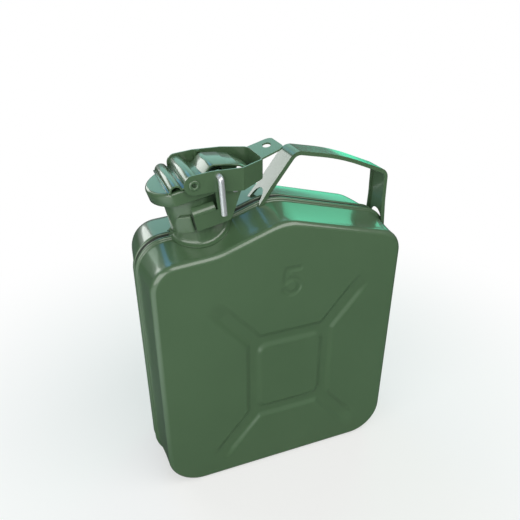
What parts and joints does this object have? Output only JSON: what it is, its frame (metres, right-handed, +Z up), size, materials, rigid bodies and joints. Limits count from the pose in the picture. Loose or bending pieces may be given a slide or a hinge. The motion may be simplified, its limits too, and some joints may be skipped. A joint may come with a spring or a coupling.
{
  "type": "metal jerry can",
  "caption": "Flat pressed-steel fuel can with a sunk cross and square on each face, slanted neck, hinged cap with clamping lever and a strap handle.",
  "frame": {"origin": "middle of the flat base, on the surface that the can stands on", "axes": "+Z up, +X from the neck towards the handle, -Y the face that the picture shows; the welded seam lies in the plane y = -4 mm"},
  "size_m": [0.244, 0.096, 0.323],
  "materials": {
    "front_shell": "green enamel, glossy",
    "rear_shell": "green enamel, glossy",
    "filler_neck": "green enamel, glossy",
    "hinge_bracket": "green enamel, glossy",
    "spout_lug_near": "green enamel, glossy",
    "spout_lug_far": "green enamel, glossy",
    "handle": "green enamel, glossy",
    "cap": "green enamel, glossy",
    "cap_bridge": "green enamel, glossy",
    "lever": "green enamel, glossy",
    "pivot_rivet_near": "green enamel, glossy",
    "pivot_rivet_far": "green enamel, glossy",
    "breather_tube": "bright zinc plate",
    "hinge_pin": "bright zinc plate",
    "locking_pin": "bright zinc plate",
    "cap_gasket": "black, matt"
  },
  "bodies": {
    "can": {"front_shell": "front_shell", "rear_shell": "rear_shell", "filler_neck": "filler_neck", "breather_tube": "breather_tube", "hinge_bracket": "hinge_bracket", "hinge_pin": "hinge_pin", "spout_lug_near": "spout_lug_near", "spout_lug_far": "spout_lug_far", "handle": "handle"},
    "closure": {"cap": "cap", "cap_gasket": "cap_gasket", "cap_bridge": "cap_bridge", "pivot_rivet_near": "pivot_rivet_near", "pivot_rivet_far": "pivot_rivet_far"},
    "lever": {"lever": "lever"},
    "pin": {"locking_pin": "locking_pin"}
  },
  "joints": [
    {"name": "cap_hinge", "type": "hinge", "parent": "can", "child": "closure", "pos_m": [-0.03886, -0.004, 0.29859], "axis": [0, 1, 0], "range_deg": [0, 82.5]},
    {"name": "lever_lift", "type": "hinge", "parent": "closure", "child": "lever", "pos_m": [-0.07254, -0.004, 0.30503], "axis": [0, -1, 0], "range_deg": [0, 110]},
    {"name": "pin_slide", "type": "slide", "parent": "lever", "child": "pin", "axis": [0, 1, 0], "range_m": [0, 0.0019]}
  ],
  "couplings": [
    {"joint": "cap_hinge", "follows": "lever_lift", "ratio": 0.75}
  ]
}
